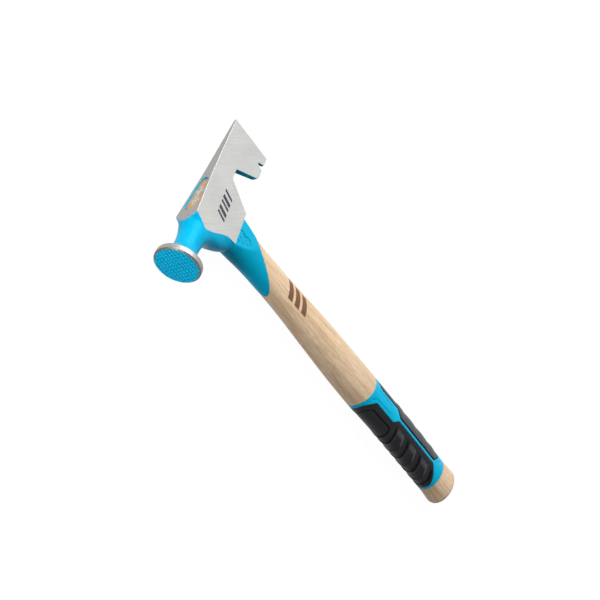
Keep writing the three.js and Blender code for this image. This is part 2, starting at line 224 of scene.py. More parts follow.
def cheek_half(y, drop):
    """Half thickness of the head between its cheeks, at a drop below the ground top."""
    bend = np.clip((BLADE_FRONT_Y - y) / 25, 0, 1)
    top = CHEEK_AT_EDGE + CHEEK_SLOPE * (y - EDGE_Y) + EYE_SLOPE * np.maximum(0, y - BLADE_FRONT_Y)
    return top * (1 - BLADE_THINNING * drop * bend)


def guard_end(degrees):
    """Where the guard starts on the wood, at an angle round the handle."""
    return GUARD_MID - GUARD_LEAN * cos(degrees) - GUARD_SWEEP * cos(degrees) ** 2


def grip_end(degrees):
    """Where the blue sleeve of the grip stops, at an angle round the handle."""
    return GRIP_HIGH + GRIP_TONGUE * np.maximum(0, cos(degrees)) ** 2


# ---------------------------------------- mesh tools


class Shape:
    """Collects points and faces in millimetres and turns them into an object."""

    def __init__(self):
        self.points, self.faces, self.looks, self.shades = [], [], [], []

    def add(self, grid, shade=0.0):
        """Adds points. Their shade is above zero where shade is painted into grooves and creases, and
        below zero where a highlight is painted onto crests.
        """
        grid = np.asarray(grid, float)
        start = len(self.points)
        self.points.extend(grid.reshape(-1, 3).tolist())
        self.shades.extend(np.broadcast_to(shade, grid.shape[:-1]).ravel().tolist())
        return np.arange(start, len(self.points)).reshape(grid.shape[:-1])

    def face(self, loop, look=0):
        self.faces.append([int(i) for i in loop])
        self.looks.append(look)

    def skin(self, ids, look=0, around=False):
        """Quads between neighbouring rows; around also joins the last column to the first."""
        rows, columns = ids.shape
        for i in range(rows - 1):
            for j in range(columns if around else columns - 1):
                k = (j + 1) % columns
                self.face((ids[i, j], ids[i, k], ids[i + 1, k], ids[i + 1, j]), look)

    def body(self, rings):
        """A closed body through rings of points."""
        ids = self.add(rings)
        self.skin(ids, around=True)
        self.face(ids[0])
        self.face(ids[-1])

    def bridge(self, first, second):
        """Triangles between two lines of points of different counts."""
        i = j = 0
        while i < len(first) - 1 or j < len(second) - 1:
            ahead = (i + 1) / max(1, len(first) - 1) <= (j + 1) / max(1, len(second) - 1)
            if j == len(second) - 1 or (ahead and i < len(first) - 1):
                self.face((first[i], first[i + 1], second[j]))
                i += 1
            else:
                self.face((first[i], second[j + 1], second[j]))
                j += 1

    def make(self, name, looks):
        data = bpy.data.meshes.new(name)
        data.from_pydata([tuple(c * MM for c in p) for p in self.points], [], self.faces)
        for look in looks:
            data.materials.append(look)
        data.polygons.foreach_set("material_index", self.looks)
        # the shade attribute carries painted shade and painted highlights into the materials
        if any(self.shades):
            data.attributes.new("shade", "FLOAT", "POINT").data.foreach_set("value", self.shades)
        made = placed(name, data)
        tidy(made)
        return made


def placed(name, data):
    """A new object in the scene."""
    made = bpy.data.objects.new(name, data)
    bpy.context.scene.collection.objects.link(made)
    return made


@contextmanager
def editing(made):
    """The mesh of an object, open for editing."""
    work = bmesh.new()
    work.from_mesh(made.data)
    yield work
    work.to_mesh(made.data)
    work.free()


def tidy(made):
    """Merges points that coincide and turns every face outwards."""
    with editing(made) as work:
        bmesh.ops.remove_doubles(work, verts=work.verts, dist=1e-7)
        bmesh.ops.dissolve_degenerate(work, edges=work.edges, dist=1e-7)
        bmesh.ops.recalc_face_normals(work, faces=work.faces)


def soften(made, degrees):
    """Smooth shading, kept sharp at steep edges and where two finishes meet."""
    with editing(made) as work:
        for face in work.faces:
            face.smooth = True
        for edge in work.edges:
            looks = {face.material_index for face in edge.link_faces}
            steep = edge.calc_face_angle(0) > math.radians(degrees)
            edge.smooth = not (steep or len(looks) > 1)


def cut(made, cutter, operation="DIFFERENCE"):
    """Applies a boolean with another object, which is then removed."""
    change = made.modifiers.new("cut", "BOOLEAN")
    change.solver = "EXACT"
    change.operation = operation
    change.material_mode = "TRANSFER"
    change.object = cutter
    graph = bpy.context.evaluated_depsgraph_get()
    result = bpy.data.meshes.new_from_object(made.evaluated_get(graph))
    made.modifiers.clear()
    made.data = result
    bpy.data.objects.remove(cutter)


def settle(made, degrees, node, slot):
    """Shades a finished piece and puts it in the place of its CAD part."""
    soften(made, degrees)
    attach(made, "root")
    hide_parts(node)


# ---------------------------------------- node materials

MARK_X, BURN_X = 333.5, 228.0           # the marks on the cheeks and on the wood


class Look:
    """A procedural material. Positions reach it in millimetres of the part's own frame."""

    def __init__(self, name, **sockets):
        self.material = bpy.data.materials.new(name)
        self.material.use_nodes = True
        self.tree = self.material.node_tree
        self.tree.nodes.clear()
        self.shader = self.node("ShaderNodeBsdfPrincipled")
        self.end = self.node("ShaderNodeOutputMaterial")
        self.put(self.end.inputs[0], self.shader.outputs[0])
        place = self.node("ShaderNodeTexCoord")
        self.at = self.scaled(place.outputs["Object"], (1 / MM,) * 3)
        self.facing = place.outputs["Normal"]
        for socket, value in sockets.items():
            self.set(socket.replace("_", " "), value)

    def node(self, kind, **settings):
        made = self.tree.nodes.new(kind)
        for key, value in settings.items():
            setattr(made, key, value)
        return made

    def put(self, socket, value):
        """Links a socket, or gives it a value."""
        if isinstance(value, bpy.types.NodeSocket):
            self.tree.links.new(value, socket)
        elif hasattr(value, "__len__") and len(socket.default_value) == 4:
            socket.default_value = (*value, 1)
        else:
            socket.default_value = value

    def set(self, socket, value):
        self.put(self.shader.inputs[socket], value)

    def rough(self, noise, low, high):
        """Roughness that follows a noise, from low to high."""
        self.set("Roughness", self.between(noise, 0.3, 0.7, low, high))

    def scaled(self, vector, factors):
        node = self.node("ShaderNodeVectorMath", operation="MULTIPLY")
        self.put(node.inputs[0], vector)
        self.put(node.inputs[1], factors)
        return node.outputs[0]

    def math(self, operation, a, b=0.0, c=0.0):
        node = self.node("ShaderNodeMath", operation=operation)
        for socket, value in zip(node.inputs, (a, b, c)):
            self.put(socket, value)
        return node.outputs[0]

    def split(self, vector):
        node = self.node("ShaderNodeSeparateXYZ")
        self.put(node.inputs[0], vector)
        return node.outputs

    def noise(self, size, detail, roughness=0.5, vector=None):
        """Noise whose lumps are about size millimetres along x, y and z."""
        node = self.node("ShaderNodeTexNoise")
        sizes = size if hasattr(size, "__len__") else (size,) * 3
        self.put(node.inputs["Vector"], self.scaled(vector or self.at, [1 / s for s in sizes]))
        self.put(node.inputs["Scale"], 1.0)
        self.put(node.inputs["Detail"], detail)
        self.put(node.inputs["Roughness"], roughness)
        return node.outputs[0]

    def between(self, value, low, high, start=0.0, end=1.0):
        """Smooth change from start to end as value goes from low to high."""
        node = self.node("ShaderNodeMapRange", interpolation_type="SMOOTHSTEP")
        for socket, given in zip(node.inputs, (value, low, high, start, end)):
            self.put(socket, given)
        return node.outputs[0]

    def mix(self, factor, a, b):
        node = self.node("ShaderNodeMix", data_type="RGBA")
        for index, value in ((0, factor), (6, a), (7, b)):
            self.put(node.inputs[index], value)
        return node.outputs[2]

    def bump(self, height, depth, after=None):
        """Bump of that depth in millimetres."""
        node = self.node("ShaderNodeBump")
        node.inputs["Strength"].default_value = 1.0
        node.inputs["Distance"].default_value = depth * MM
        self.put(node.inputs["Height"], height)
        if after is not None:
            self.put(node.inputs["Normal"], after)
        self.set("Normal", node.outputs[0])
        return node.outputs[0]

    def shade(self, full):
        """The mesh's painted shade as an amount from zero to one: full is 1 for the shade painted into
        grooves, -1 for the highlight painted onto crests.
        """
        value = self.node("ShaderNodeAttribute", attribute_name="shade").outputs["Fac"]
        return self.between(self.math("MULTIPLY", value, full), 0.0, 1.0)

    def box_mask(self, coordinate, low, high, soft):
        """One inside low to high, zero outside."""
        rise = self.between(coordinate, low - soft, low + soft)
        fall = self.between(coordinate, high - soft, high + soft, 1.0, 0.0)
        return self.math("MULTIPLY", rise, fall)

    def bars(self, run, across, start, pitch, widths, reach, slant):
        """A row of slanted bars, one for each width: the amount of ink at a point."""
        soft = 0.12
        lean = self.math("MULTIPLY_ADD", across, slant, run)
        total = 0.0
        for i, width in enumerate(widths):
            low = start + i * pitch
            total = self.math("MAXIMUM", total, self.box_mask(lean, low, low + width, soft))
        return self.math("MULTIPLY", total, self.box_mask(across, -reach, reach, soft))


def steel_look():
    """Bright ground cheeks with a fine satin finish and a generic printed mark."""
    look = Look("ground_steel", Metallic=0.85)
    x, y = look.split(look.at)[:2]
    turned = look.node("ShaderNodeVectorRotate", rotation_type="Z_AXIS")
    look.put(turned.inputs["Vector"], look.at)
    look.put(turned.inputs["Angle"], math.radians(-45))
    streak = look.noise((9, 0.16, 0.5), 4, 0.6, vector=turned.outputs[0])
    sweep = look.noise((30, 1.1, 4), 3, vector=turned.outputs[0])
    speck = look.noise(0.42, 2, 0.6)
    cloud = look.noise(26, 2)
    tone = look.mix(look.between(speck, 0.25, 0.75), (0.51, 0.51, 0.495), (0.62, 0.62, 0.605))
    tone = look.mix(look.between(cloud, 0.35, 0.65, 0.0, 0.4), tone, (0.485, 0.485, 0.465))
    tone = look.mix(look.between(sweep, 0.4, 0.65, 0.0, 0.35), tone, (0.455, 0.455, 0.44))
    across = look.math("SUBTRACT", x, MARK_X)
    widths = (2.4, 3.6, 2.4, 3.6, 2.4)
    ink = look.bars(y, across, start=-17.5, pitch=5.4, widths=widths, reach=4.6, slant=0.35)
    ink = look.math("MULTIPLY", ink, look.between(look.noise(0.6, 2), 0.28, 0.42))
    look.set("Base Color", look.mix(ink, tone, (0.035, 0.035, 0.055)))
    look.rough(streak, 0.34, 0.46)
    look.bump(streak, 0.006, look.bump(speck, 0.012))
    return look.material


def shaded_top_look():
    """The top, with fine scratches ground across it, in a darker grey than the cheeks that is painted
    shade.
    """
    look = Look("ground_top_painted_shade", Metallic=0.8)
    scratch = look.noise((0.22, 0.22, 7), 4, 0.65)
    speck = look.noise(0.5, 2)
    # the darker greys paint in the shade that falls on the top
    tone = look.mix(look.between(scratch, 0.3, 0.7), (0.30, 0.30, 0.295), (0.42, 0.42, 0.41))
    look.set("Base Color", look.mix(look.between(speck, 0.3, 0.7, 0.0, 0.35), tone, (0.33, 0.33, 0.33)))
    look.rough(speck, 0.38, 0.5)
    look.bump(scratch, 0.02)
    return look.material


def bevel_look():
    """Freshly honed cutting bevel and broken edges, brighter than the ground faces."""
    look = Look("honed_edge", Metallic=0.9)
    hone = look.noise((0.12, 6, 6), 3)
    look.set("Base Color", look.mix(hone, (0.42, 0.42, 0.41), (0.56, 0.56, 0.55)))
    look.rough(hone, 0.38, 0.48)
    look.bump(hone, 0.008)
    return look.material


def rim_look():
    """Rim of the striking face, turned on a lathe: fine rings round its axis."""
    look = Look("turned_rim", Metallic=0.9)
    rings = look.noise((14, 0.14, 14), 4, 0.65)
    broad = look.noise((30, 1.3, 30), 2)
    tone = look.mix(look.between(rings, 0.3, 0.7), (0.30, 0.295, 0.285), (0.45, 0.445, 0.43))
    broad = look.between(broad, 0.35, 0.65, 0.0, 0.45)
    look.set("Base Color", look.mix(broad, tone, (0.27, 0.265, 0.255)))
    look.rough(rings, 0.38, 0.5)
    look.bump(rings, 0.015)
    return look.material


def chamfer_look():
    """Chamfer round the face: bare steel browned by oil and paint overspray."""
    look = Look("browned_chamfer", Metallic=0.75)
    stain = look.noise(1.1, 3, 0.6)
    grain = look.noise(0.3, 2)
    tone = look.mix(look.between(stain, 0.35, 0.65), (0.12, 0.098, 0.078), (0.21, 0.185, 0.155))
    look.set("Base Color", tone)
    look.rough(grain, 0.36, 0.55)
    look.bump(grain, 0.02)
    return look.material


def paint_look(name, base, deep, dullness, shine):
    """Blue enamel with a faint orange peel, thicker, deeper patches, and shade painted into the dents
    that the mesh's shade marks.
    """
    look = Look(name, Specular_IOR_Level=shine, Specular_Tint=(0.2, 0.88, 1))
    patch = look.noise(9, 2)
    fine = look.noise(0.55, 2, 0.5)
    # painted shade: darker in dents and grooves, as the mesh's shade gives
    painted_groove_shade = look.math("MULTIPLY", look.shade(1), 0.75)
    tone = look.mix(look.between(patch, 0.35, 0.7, 0.0, 0.5), base, deep)
    look.set("Base Color", look.mix(painted_groove_shade, tone, (0.0, 0.06, 0.13)))
    look.rough(fine, dullness - 0.05, dullness + 0.07)
    look.bump(fine, 0.02, look.bump(patch, 0.08))
    return look.material


def tooth_look():
    """Thin paint of the milled face, with shade painted at the bottom of its grooves and a lighter tone
    painted on the tooth tops.
    """
    look = Look("painted_teeth", Specular_IOR_Level=0.4, Specular_Tint=(0.3, 0.88, 1))
    y = look.split(look.at)[1]
    # painted shade and highlight: the colour goes from dark at the bottom of the grooves to light at
    # the tooth tops
    height = look.between(y, FACE_Y - TOOTH_DEPTH - 0.05, FACE_Y - CREST)
    patch = look.between(look.noise(5, 2), 0.4, 0.7, 0.0, 0.3)
    fine = look.noise(0.5, 2)
    tone = look.mix(height, (0.0, 0.29, 0.50), (0.0, 0.56, 0.88))
    look.set("Base Color", look.mix(patch, tone, (0.0, 0.38, 0.64)))
    look.rough(fine, 0.4, 0.5)
    look.bump(fine, 0.012)
    return look.material


def wood_look():
    """Pale straight-grained wood, solid all through, so the butt and tenon show their ends."""
    look = Look("pale_wood", Specular_IOR_Level=0.35)
    x, y, z = look.split(look.at)
    drift = look.noise((70, 14, 14), 2)
    sway = look.math("MULTIPLY_ADD", drift, 9.0, y)
    sway = look.math("MULTIPLY_ADD", z, 0.55, sway)
    phase = look.math("SINE", look.math("MULTIPLY", sway, 2.3))
    ring = look.between(phase, -0.2, 1.0)
    fibre = look.noise((22, 0.32, 0.32), 4, 0.6)
    pore = look.noise((5.0, 0.2, 0.2), 2, 0.5)
    cloud = look.noise((38, 7, 7), 3)
    streak = look.noise((60, 3.0, 3.0), 3)
    pale, warm, dark = (0.90, 0.705, 0.505), (0.66, 0.445, 0.26), (0.33, 0.185, 0.085)
    tone = look.mix(look.between(cloud, 0.3, 0.7, 0.0, 0.65), pale, (0.80, 0.59, 0.385))
    tone = look.mix(look.math("MULTIPLY", ring, 0.42), tone, warm)
    tone = look.mix(look.between(streak, 0.5, 0.68, 0.0, 0.55), tone, (0.57, 0.37, 0.195))
    tone = look.mix(look.between(fibre, 0.42, 0.66, 0.0, 0.75), tone, (0.54, 0.34, 0.175))
    tone = look.mix(look.between(pore, 0.58, 0.72, 0.0, 0.65), tone, dark)
    end = look.between(look.math("ABSOLUTE", look.split(look.facing)[0]), 0.7, 0.95)
    spot = look.noise((4, 0.35, 0.35), 2)
    ended = look.mix(look.between(spot, 0.4, 0.7), (0.60, 0.35, 0.17), (0.48, 0.26, 0.11))
    ended = look.mix(look.math("MULTIPLY", ring, 0.5), ended, (0.60, 0.37, 0.18))
    tone = look.mix(end, tone, ended)
    burn = look.bars(x, y, start=BURN_X, pitch=8.6, widths=(5.6,) * 3, reach=7, slant=0.45)
    burn = look.math("MULTIPLY", burn, look.between(z, 2.0, 3.0))
    burn = look.math("MULTIPLY", burn, look.between(fibre, 0.1, 0.45, 0.75, 1.0))
    tone = look.mix(burn, tone, (0.17, 0.075, 0.032))
    look.set("Base Color", tone)
    look.rough(fibre, 0.42, 0.56)
    first = look.bump(fibre, 0.03)
    look.bump(look.between(pore, 0.62, 0.8, 1.0, 0.0), 0.03, first)
    return look.material


def plastic_look():
    """Blue moulded plastic of the grip, with a faint mould texture and shade painted into its moulded
    grooves.
    """
    look = Look("blue_plastic", Specular_IOR_Level=0.25, Specular_Tint=(0.1, 0.85, 1))
    cloud = look.noise(7, 2)
    fine = look.noise(0.3, 2, 0.6)
    # painted shade in the moulded grooves, from the mesh's shade
    painted_groove_shade = look.math("MULTIPLY", look.shade(1), 0.7)
    tone = look.mix(look.between(cloud, 0.35, 0.7), (0.0, 0.485, 0.77), (0.0, 0.455, 0.73))
    look.set("Base Color", look.mix(painted_groove_shade, tone, (0.0, 0.13, 0.25)))
    look.rough(fine, 0.36, 0.48)
    look.bump(fine, 0.012)
    return look.material


def rubber_look():
    """Soft black rubber with a fine stipple, dusty grey where it is handled, with highlights painted
    onto its crests and shade painted into its grooves.
    """
    look = Look("black_rubber")
    stipple = look.noise(0.28, 2, 0.6)
    dust = look.noise(10, 3)
    painted_groove_shade, painted_crest_highlight = look.shade(1), look.shade(-1)
    dusty = look.between(dust, 0.35, 0.75, 0.0, 0.7)
    tone = look.mix(dusty, (0.008, 0.0085, 0.011), (0.015, 0.016, 0.019))
    tone = look.mix(look.between(stipple, 0.55, 0.8, 0.0, 0.35), tone, (0.026, 0.028, 0.032))
    # painted highlight on crests and on the rear pad's top
    tone = look.mix(look.math("MULTIPLY", painted_crest_highlight, 0.9), tone, (0.10, 0.105, 0.118))
    # painted shade in grooves, with less reflection there too
    look.set("Base Color", look.mix(painted_groove_shade, tone, (0.002, 0.002, 0.0025)))
    look.set("Specular IOR Level", look.math("MULTIPLY_ADD", painted_groove_shade, -0.13, 0.15))
    look.rough(dust, 0.36, 0.48)
    look.bump(stipple, 0.03)
    return look.material


def wedge_look(name, base, worn):
    """Driven wedge: dull, hammered and scratched along its length."""
    look = Look(name, Metallic=0.25)
    scratch = look.noise((0.3, 2.5, 0.3), 3, 0.6)
    dent = look.noise(1.3, 2)
    look.set("Base Color", look.mix(look.between(scratch, 0.35, 0.7), base, worn))
    look.rough(dent, 0.4, 0.6)
    look.bump(dent, 0.12, look.bump(scratch, 0.03))
    return look.material


STEEL, SHADED_TOP, HONED = steel_look(), shaded_top_look(), bevel_look()
RIM, BROWNED = rim_look(), chamfer_look()
ENAMEL = paint_look("blue_enamel", (0.0, 0.45, 0.74), (0.0, 0.40, 0.68), 0.38, 0.25)
DIPPED = paint_look("blue_dip", (0.0, 0.385, 0.60), (0.0, 0.345, 0.55), 0.42, 0.22)
# a matte, darker copy of the enamel for the faces the cutters leave (notch, blade underside with its
# nail slot, eye): the darker blue is painted shade
SHADED_CUT_PAINT = paint_look("blue_in_cuts_painted_shade", (0.0, 0.40, 0.62), (0.0, 0.36, 0.58), 0.7, 0.02)
TEETH = tooth_look()
WOOD, PLASTIC, RUBBER = wood_look(), plastic_look(), rubber_look()
KERF_LOOK = wedge_look("pale_wedge", (0.50, 0.58, 0.60), (0.36, 0.42, 0.44))
CROSS_LOOK = wedge_look("steel_wedge", (0.52, 0.59, 0.61), (0.40, 0.46, 0.47))

# ---------------------------------------- head

def forging():
    """The drop forging with its turned face, as one loft along Y."""
    columns = np.array(FORGING, float).T
    parts = [curve(np.stack([columns[0], values], 1)) for values in columns[1:]]
    c, s = cos(ANGLES), sin(ANGLES)
    rings, looks = [], []

    def section(y, up, down, half, fullness, look):
        reach = np.where(s > 0, up, down)
        x = FACE_X + reach * np.sign(s) * np.abs(s) ** (2 / fullness)
        z = half * np.sign(c) * np.abs(c) ** (2 / fullness)
        rings.append(np.stack([x, np.full(AROUND, y), z], 1))
        looks.append(look)

    section(EDGE_Y - 20, 60, 90, 40, 8, 0)
    section(2, 60, 90, 40, 8, 0)
    for y in np.arange(FORGING[0][0], RIM_BACK + 0.01, 0.45):
        section(y, *(part(y) for part in parts), 0)
    turned = [
        (16.9, RIM_BACK + 0.05, 0), (17.3, RIM_BACK + 0.3, 1),
        (FACE_RADIUS - 0.08, RIM_BACK + 0.7, 1), (FACE_RADIUS, RIM_BACK + 1.1, 1),
        (FACE_RADIUS, RIM_FRONT - 0.12, 1),
        (FACE_RADIUS - 0.1, RIM_FRONT, 2), (CHAMFER_RADIUS, FACE_Y - CREST, 3),
        (12, FACE_Y - 0.08, 3), (8, FACE_Y - 0.035, 3), (4, FACE_Y - 0.01, 3),
    ]
    for radius, y, look in turned:
        section(y, radius, radius, radius, 2, look)
    shape = Shape()
    ids = shape.add(rings)
    for i in range(len(rings) - 1):
        shape.skin(ids[i:i + 2], looks[i], around=True)
    shape.face(ids[0])
    shape.face(ids[-1], 3)
    return shape.make("forged_head", [ENAMEL, RIM, BROWNED, TEETH])


def envelope():
    """The ground faces: two cheeks that run to the cutting edge, the top and the underside."""
    far, wide = 60, 45
    shape = Shape()
    rings = []
    for y in [EDGE_Y, EDGE_Y + EDGE_BEVEL, *np.arange(-74, CHEEK_FRONT_Y, 3.0), CHEEK_FRONT_Y]:
        top, low = cheek_half(y, 0), cheek_half(y, TOP - BOTTOM)
        if y == EDGE_Y:
            top = low = EDGE_HALF
        arris = min(ARRIS, top * 0.4)
        rings.append([
            (TOP, y, arris - top), (TOP, y, top - arris), (TOP - arris, y, top),
            (BOTTOM, y, low), (BOTTOM, y, -low), (TOP - arris, y, -top),
        ])
    for y in (CHEEK_FRONT_Y + 0.001, FACE_Y + 10):
        rings.append([
            (TOP + far, y, 1 - wide), (TOP + far, y, wide - 1), (TOP + far - 1, y, wide),
            (BOTTOM - far, y, wide), (BOTTOM - far, y, -wide), (TOP + far - 1, y, -wide),
        ])
    ids = shape.add(rings)
    sides = [1, 2, 0, 3, 0, 2]           # top, arris, cheek, underside, cheek, arris
    for i in range(len(rings) - 1):
        for j in range(6):
            k = (j + 1) % 6
            look = 2 if i == 0 and sides[j] != 3 else sides[j]
            shape.face((ids[i, j], ids[i, k], ids[i + 1, k], ids[i + 1, j]), look)
    shape.face(ids[0], 2)
    shape.face(ids[-1])
    return shape.make("envelope", [STEEL, SHADED_TOP, HONED, ENAMEL])


def fillet(start, control, end):
    """A curve from start to end that heads for control at both."""
    t = np.linspace(0, 1, 8)[:, None]
    points = np.array([start, control, end], float)
    return (((1 - t) ** 2) * points[0] + 2 * t * (1 - t) * points[1] + t * t * points[2]).tolist()


def blade_cuts():
    """The notch and the underside with the nail slot, as drops below the top and y."""
    notch = [
        (60, -57), *fillet((BLADE_HEIGHT, -56.4), (40.6, -55.2), (37.7, -53.5)),
        *fillet((19.6, -43.1), (18.6, -42.2), (18.7, -41)), (18.8, -32.3), (42.8, -18.8), (60, -9),
    ]
    turn = np.linspace(-90, 90, 15)
    slot = [(36.4 - 1.3 * cos(a), -67.4 + 1.3 * sin(a)) for a in turn]
    under = [
        (60, -90), (BLADE_HEIGHT, -90), (BLADE_HEIGHT, -70.6), (36.6, -68.7), *slot, (36.9, -66.1),
        (BLADE_HEIGHT, -64.5), (BLADE_HEIGHT, -50), (60, -50),
    ]
    for points in (notch, under):
        shape = Shape()
        shape.body([[(TOP - drop, y, z) for drop, y in points] for z in (-30, 30)])
        yield shape.make("cutter", [SHADED_CUT_PAINT])


def egg(grow):
    """Outline of the eye as points of y and z, evenly spaced from near its front."""
    (front_y, front_r), (back_y, back_r) = EYE_FRONT, EYE_BACK
    lean = 90 + math.degrees(math.asin((front_r - back_r) / (front_y - back_y)))
    steps = 90
    ring = []
    for y, radius, start, end in (
        (front_y, front_r + grow, -lean, lean), (back_y, back_r + grow, lean, 360 - lean),
    ):
        for a in np.linspace(start, end, steps):
            ring.append((y + radius * cos(a), radius * sin(a)))
    ring.append(ring[0])
    ring = np.array(ring)
    run = running_length(ring)
    even = (run[steps // 2] + run[-1] * np.arange(AROUND) / AROUND) % run[-1]
    return np.stack([np.interp(even, run, ring[:, 0]), np.interp(even, run, ring[:, 1])], 1)


def eye_cutter():
    """The eye, opened out a little at its mouth."""
    shape = Shape()
    rings = [(BOTTOM - 20, 0), (TOP - EYE_RIM, 0), (TOP + EYE_RIM, 2 * EYE_RIM)]
    shape.body([[(x, y, z) for y, z in egg(grow)] for x, grow in rings])
    return shape.make("cutter", [SHADED_CUT_PAINT])


def grooves(along_z):
    """V grooves milled across the striking face, along Z or along X."""
    # the two sets differ a little, and nothing in them lies in the plane of the face or on its
    # axis, because the exact boolean can leave stray faces where two surfaces coincide
    reach, lift, shift = (FACE_RADIUS + 2.3, 0.27, 0.13) if along_z else (FACE_RADIUS + 2, 0.3, 0.09)
    depth = TOOTH_DEPTH * (0.95 if along_z else 1.0)
    half = (depth + lift) * 1.1
    count = int(FACE_RADIUS // TOOTH_PITCH)
    shape = Shape()
    for i in range(-count, count + 1):
        at = (i + shift) * TOOTH_PITCH
        section = [(at, FACE_Y - depth), (at + half, FACE_Y + lift), (at - half, FACE_Y + lift)]
        if along_z:
            shape.body([[(FACE_X + a, y, end) for a, y in section] for end in (-reach, reach)])
        else:
            shape.body([[(FACE_X + end, y, a) for a, y in section] for end in (-reach, reach)])
    return shape.make("cutter", [TEETH])


def make_head():
    head = forging()
    cut(head, envelope(), "INTERSECT")
    for cutter in blade_cuts():
        cut(head, cutter)
    cut(head, eye_cutter())
    for along_z in (False, True):
        cut(head, grooves(along_z))
    settle(head, 24, "head", "head_steel")


# ---------------------------------------- handle

KERF = dict(depth=30, thick=2.2, tip=0.8, start=-6.8, end=13, along_y=True)
CROSS = dict(depth=16, thick=2.4, tip=0.8, start=-4.2, end=4.2, along_y=False)
CROSS_Y = {"cross_wedge_front": 8.2, "cross_wedge_rear": -1.7}


def wedge(depth, thick, tip, start, end, along_y, y=0.0, grow=0.0, lift=3.0):
    """A tapered bar in the eye, along Y or Z, that ends at a lift above the end of the tenon."""
    levels = [(EYE_TOP - depth, tip), (EYE_TOP, thick)]
    if lift:
        levels.append((EYE_TOP + lift, thick))
    rings = []
    for x, thickness in levels:
        half = thickness / 2 + grow
        low, high = start - grow, end + grow
        flat = [(low, -half), (high, -half), (high, half), (low, half)]
        rings.append([(x, a, b) if along_y else (x, y - b, a) for a, b in flat])
    shape = Shape()
    shape.body(rings)
    return shape


def make_handle():
    """Butt, recess of the grip, shaft, recess of the guard and tenon, as one loft along X."""
    rows = []
    axis = np.array([0, offset_y(0.0), 0])
    for share in (0.2, 0.4, 0.6, 0.8, 0.93):
        rows.append(axis + share * (on_handle(0, ANGLES, BUTT_ROUND) - axis))
    for turn in np.linspace(0, 90, 9):
        rows.append(on_handle(BUTT_ROUND * (1 - cos(turn)), ANGLES, BUTT_ROUND * (1 - sin(turn))))

    def run(start, end, depth, steps):
        for t in np.linspace(0, 1, steps):
            rows.append(on_handle(start + (end - start) * t, ANGLES, depth))

    run(BUTT_ROUND, GRIP_LOW - SEAM, 0, 14)
    run(GRIP_LOW - SEAM, grip_end(ANGLES) + SEAM, GRIP_WALL + SEAM, 24)
    run(grip_end(ANGLES) + SEAM, guard_end(ANGLES) - SEAM, 0, 80)
    run(guard_end(ANGLES) - SEAM, GUARD_TOP, GUARD_WALL + SEAM, 24)
    for x, grow in ((GUARD_TOP, 0), (EYE_TOP - 0.4, 0), (EYE_TOP - 0.1, -0.12), (EYE_TOP, -0.4)):
        rows.append(np.column_stack([np.full(AROUND, x), egg(grow - SEAM)]))
    shape = Shape()
    shape.body(rows)
    handle = shape.make("wooden_handle", [WOOD])
    cut(handle, wedge(**KERF, grow=SEAM).make("cutter", [WOOD]))
    for y in CROSS_Y.values():
        cut(handle, wedge(**CROSS, y=y, grow=SEAM).make("cutter", [WOOD]))
    settle(handle, 35, "handle", "handle_wood")


def make_wedges():
    """Wedges with broken edges, their tops upset by the hammer."""
    rng = np.random.default_rng(7)
    bars = [("kerf_wedge", KERF, 0.0, KERF_LOOK, "kerf_wedge")]
    bars += [(node, CROSS, y, CROSS_LOOK, "wedge_steel") for node, y in CROSS_Y.items()]
    for node, sizes, y, look, slot in bars:
        bar = wedge(**sizes, y=y, lift=0).make("driven_" + node, [look])
        if node == "kerf_wedge":
            for other in CROSS_Y.values():
                cut(bar, wedge(**CROSS, y=other, grow=0.03).make("cutter", [look]))
        with editing(bar) as work:
            bmesh.ops.remove_doubles(work, verts=work.verts, dist=1e-6)
            top = [e for e in work.edges if all(v.co.x > (EYE_TOP - 0.1) * MM for v in e.verts)]
            bmesh.ops.bevel(work, geom=top, offset=0.14 * MM, segments=2, affect="EDGES")
            bmesh.ops.triangulate(work, faces=work.faces)
            for vertex in work.verts:
                if vertex.co.x > (EYE_TOP - 0.05) * MM:
                    vertex.co.x -= rng.uniform(0, 0.06) * MM
        settle(bar, 30, node, slot)


# ---------------------------------------- neck guard

NECK_RADIUS = 12.5

# dents in the flats of the guard: x, angle, half length, half width, depth, slant
DENTS = [
    (309.5, 103, 3.2, 0.4, 0.476, 0.10), (303.4, 99, 3.2, 0.4, 0.504, 0.06),
    (306.8, 95, 2.0, 0.35, 0.42, -0.12), (300.6, 92, 2.2, 0.35, 0.392, 0.10),
    (310.2, 66, 1.6, 0.45, 0.392, 0.15), (306.2, 71, 1.8, 0.45, 0.392, -0.1),
    (302.2, 76, 1.6, 0.4, 0.364, 0.12), (309.2, 80, 1.5, 0.4, 0.392, 0.05),
    (304.6, 85, 1.4, 0.4, 0.336, 0.1), (300.2, 84, 1.4, 0.4, 0.308, -0.1),
]


def dents(x, degrees):
    """Depth of the dents, the same on both sides."""
    total = np.zeros(np.broadcast(x, degrees).shape)
    for x0, a0, length, width, depth, slant in DENTS:
        run = x - x0
        for side in (1, -1):
            gap = np.radians((degrees - side * a0 + 180) % 360 - 180) * NECK_RADIUS
            gap = gap - side * slant * run - 0.25 * np.sin(run * 1.7 + x0)
            total += depth * np.exp(-((run / length) ** 4) - (gap / width) ** 2)
    return total


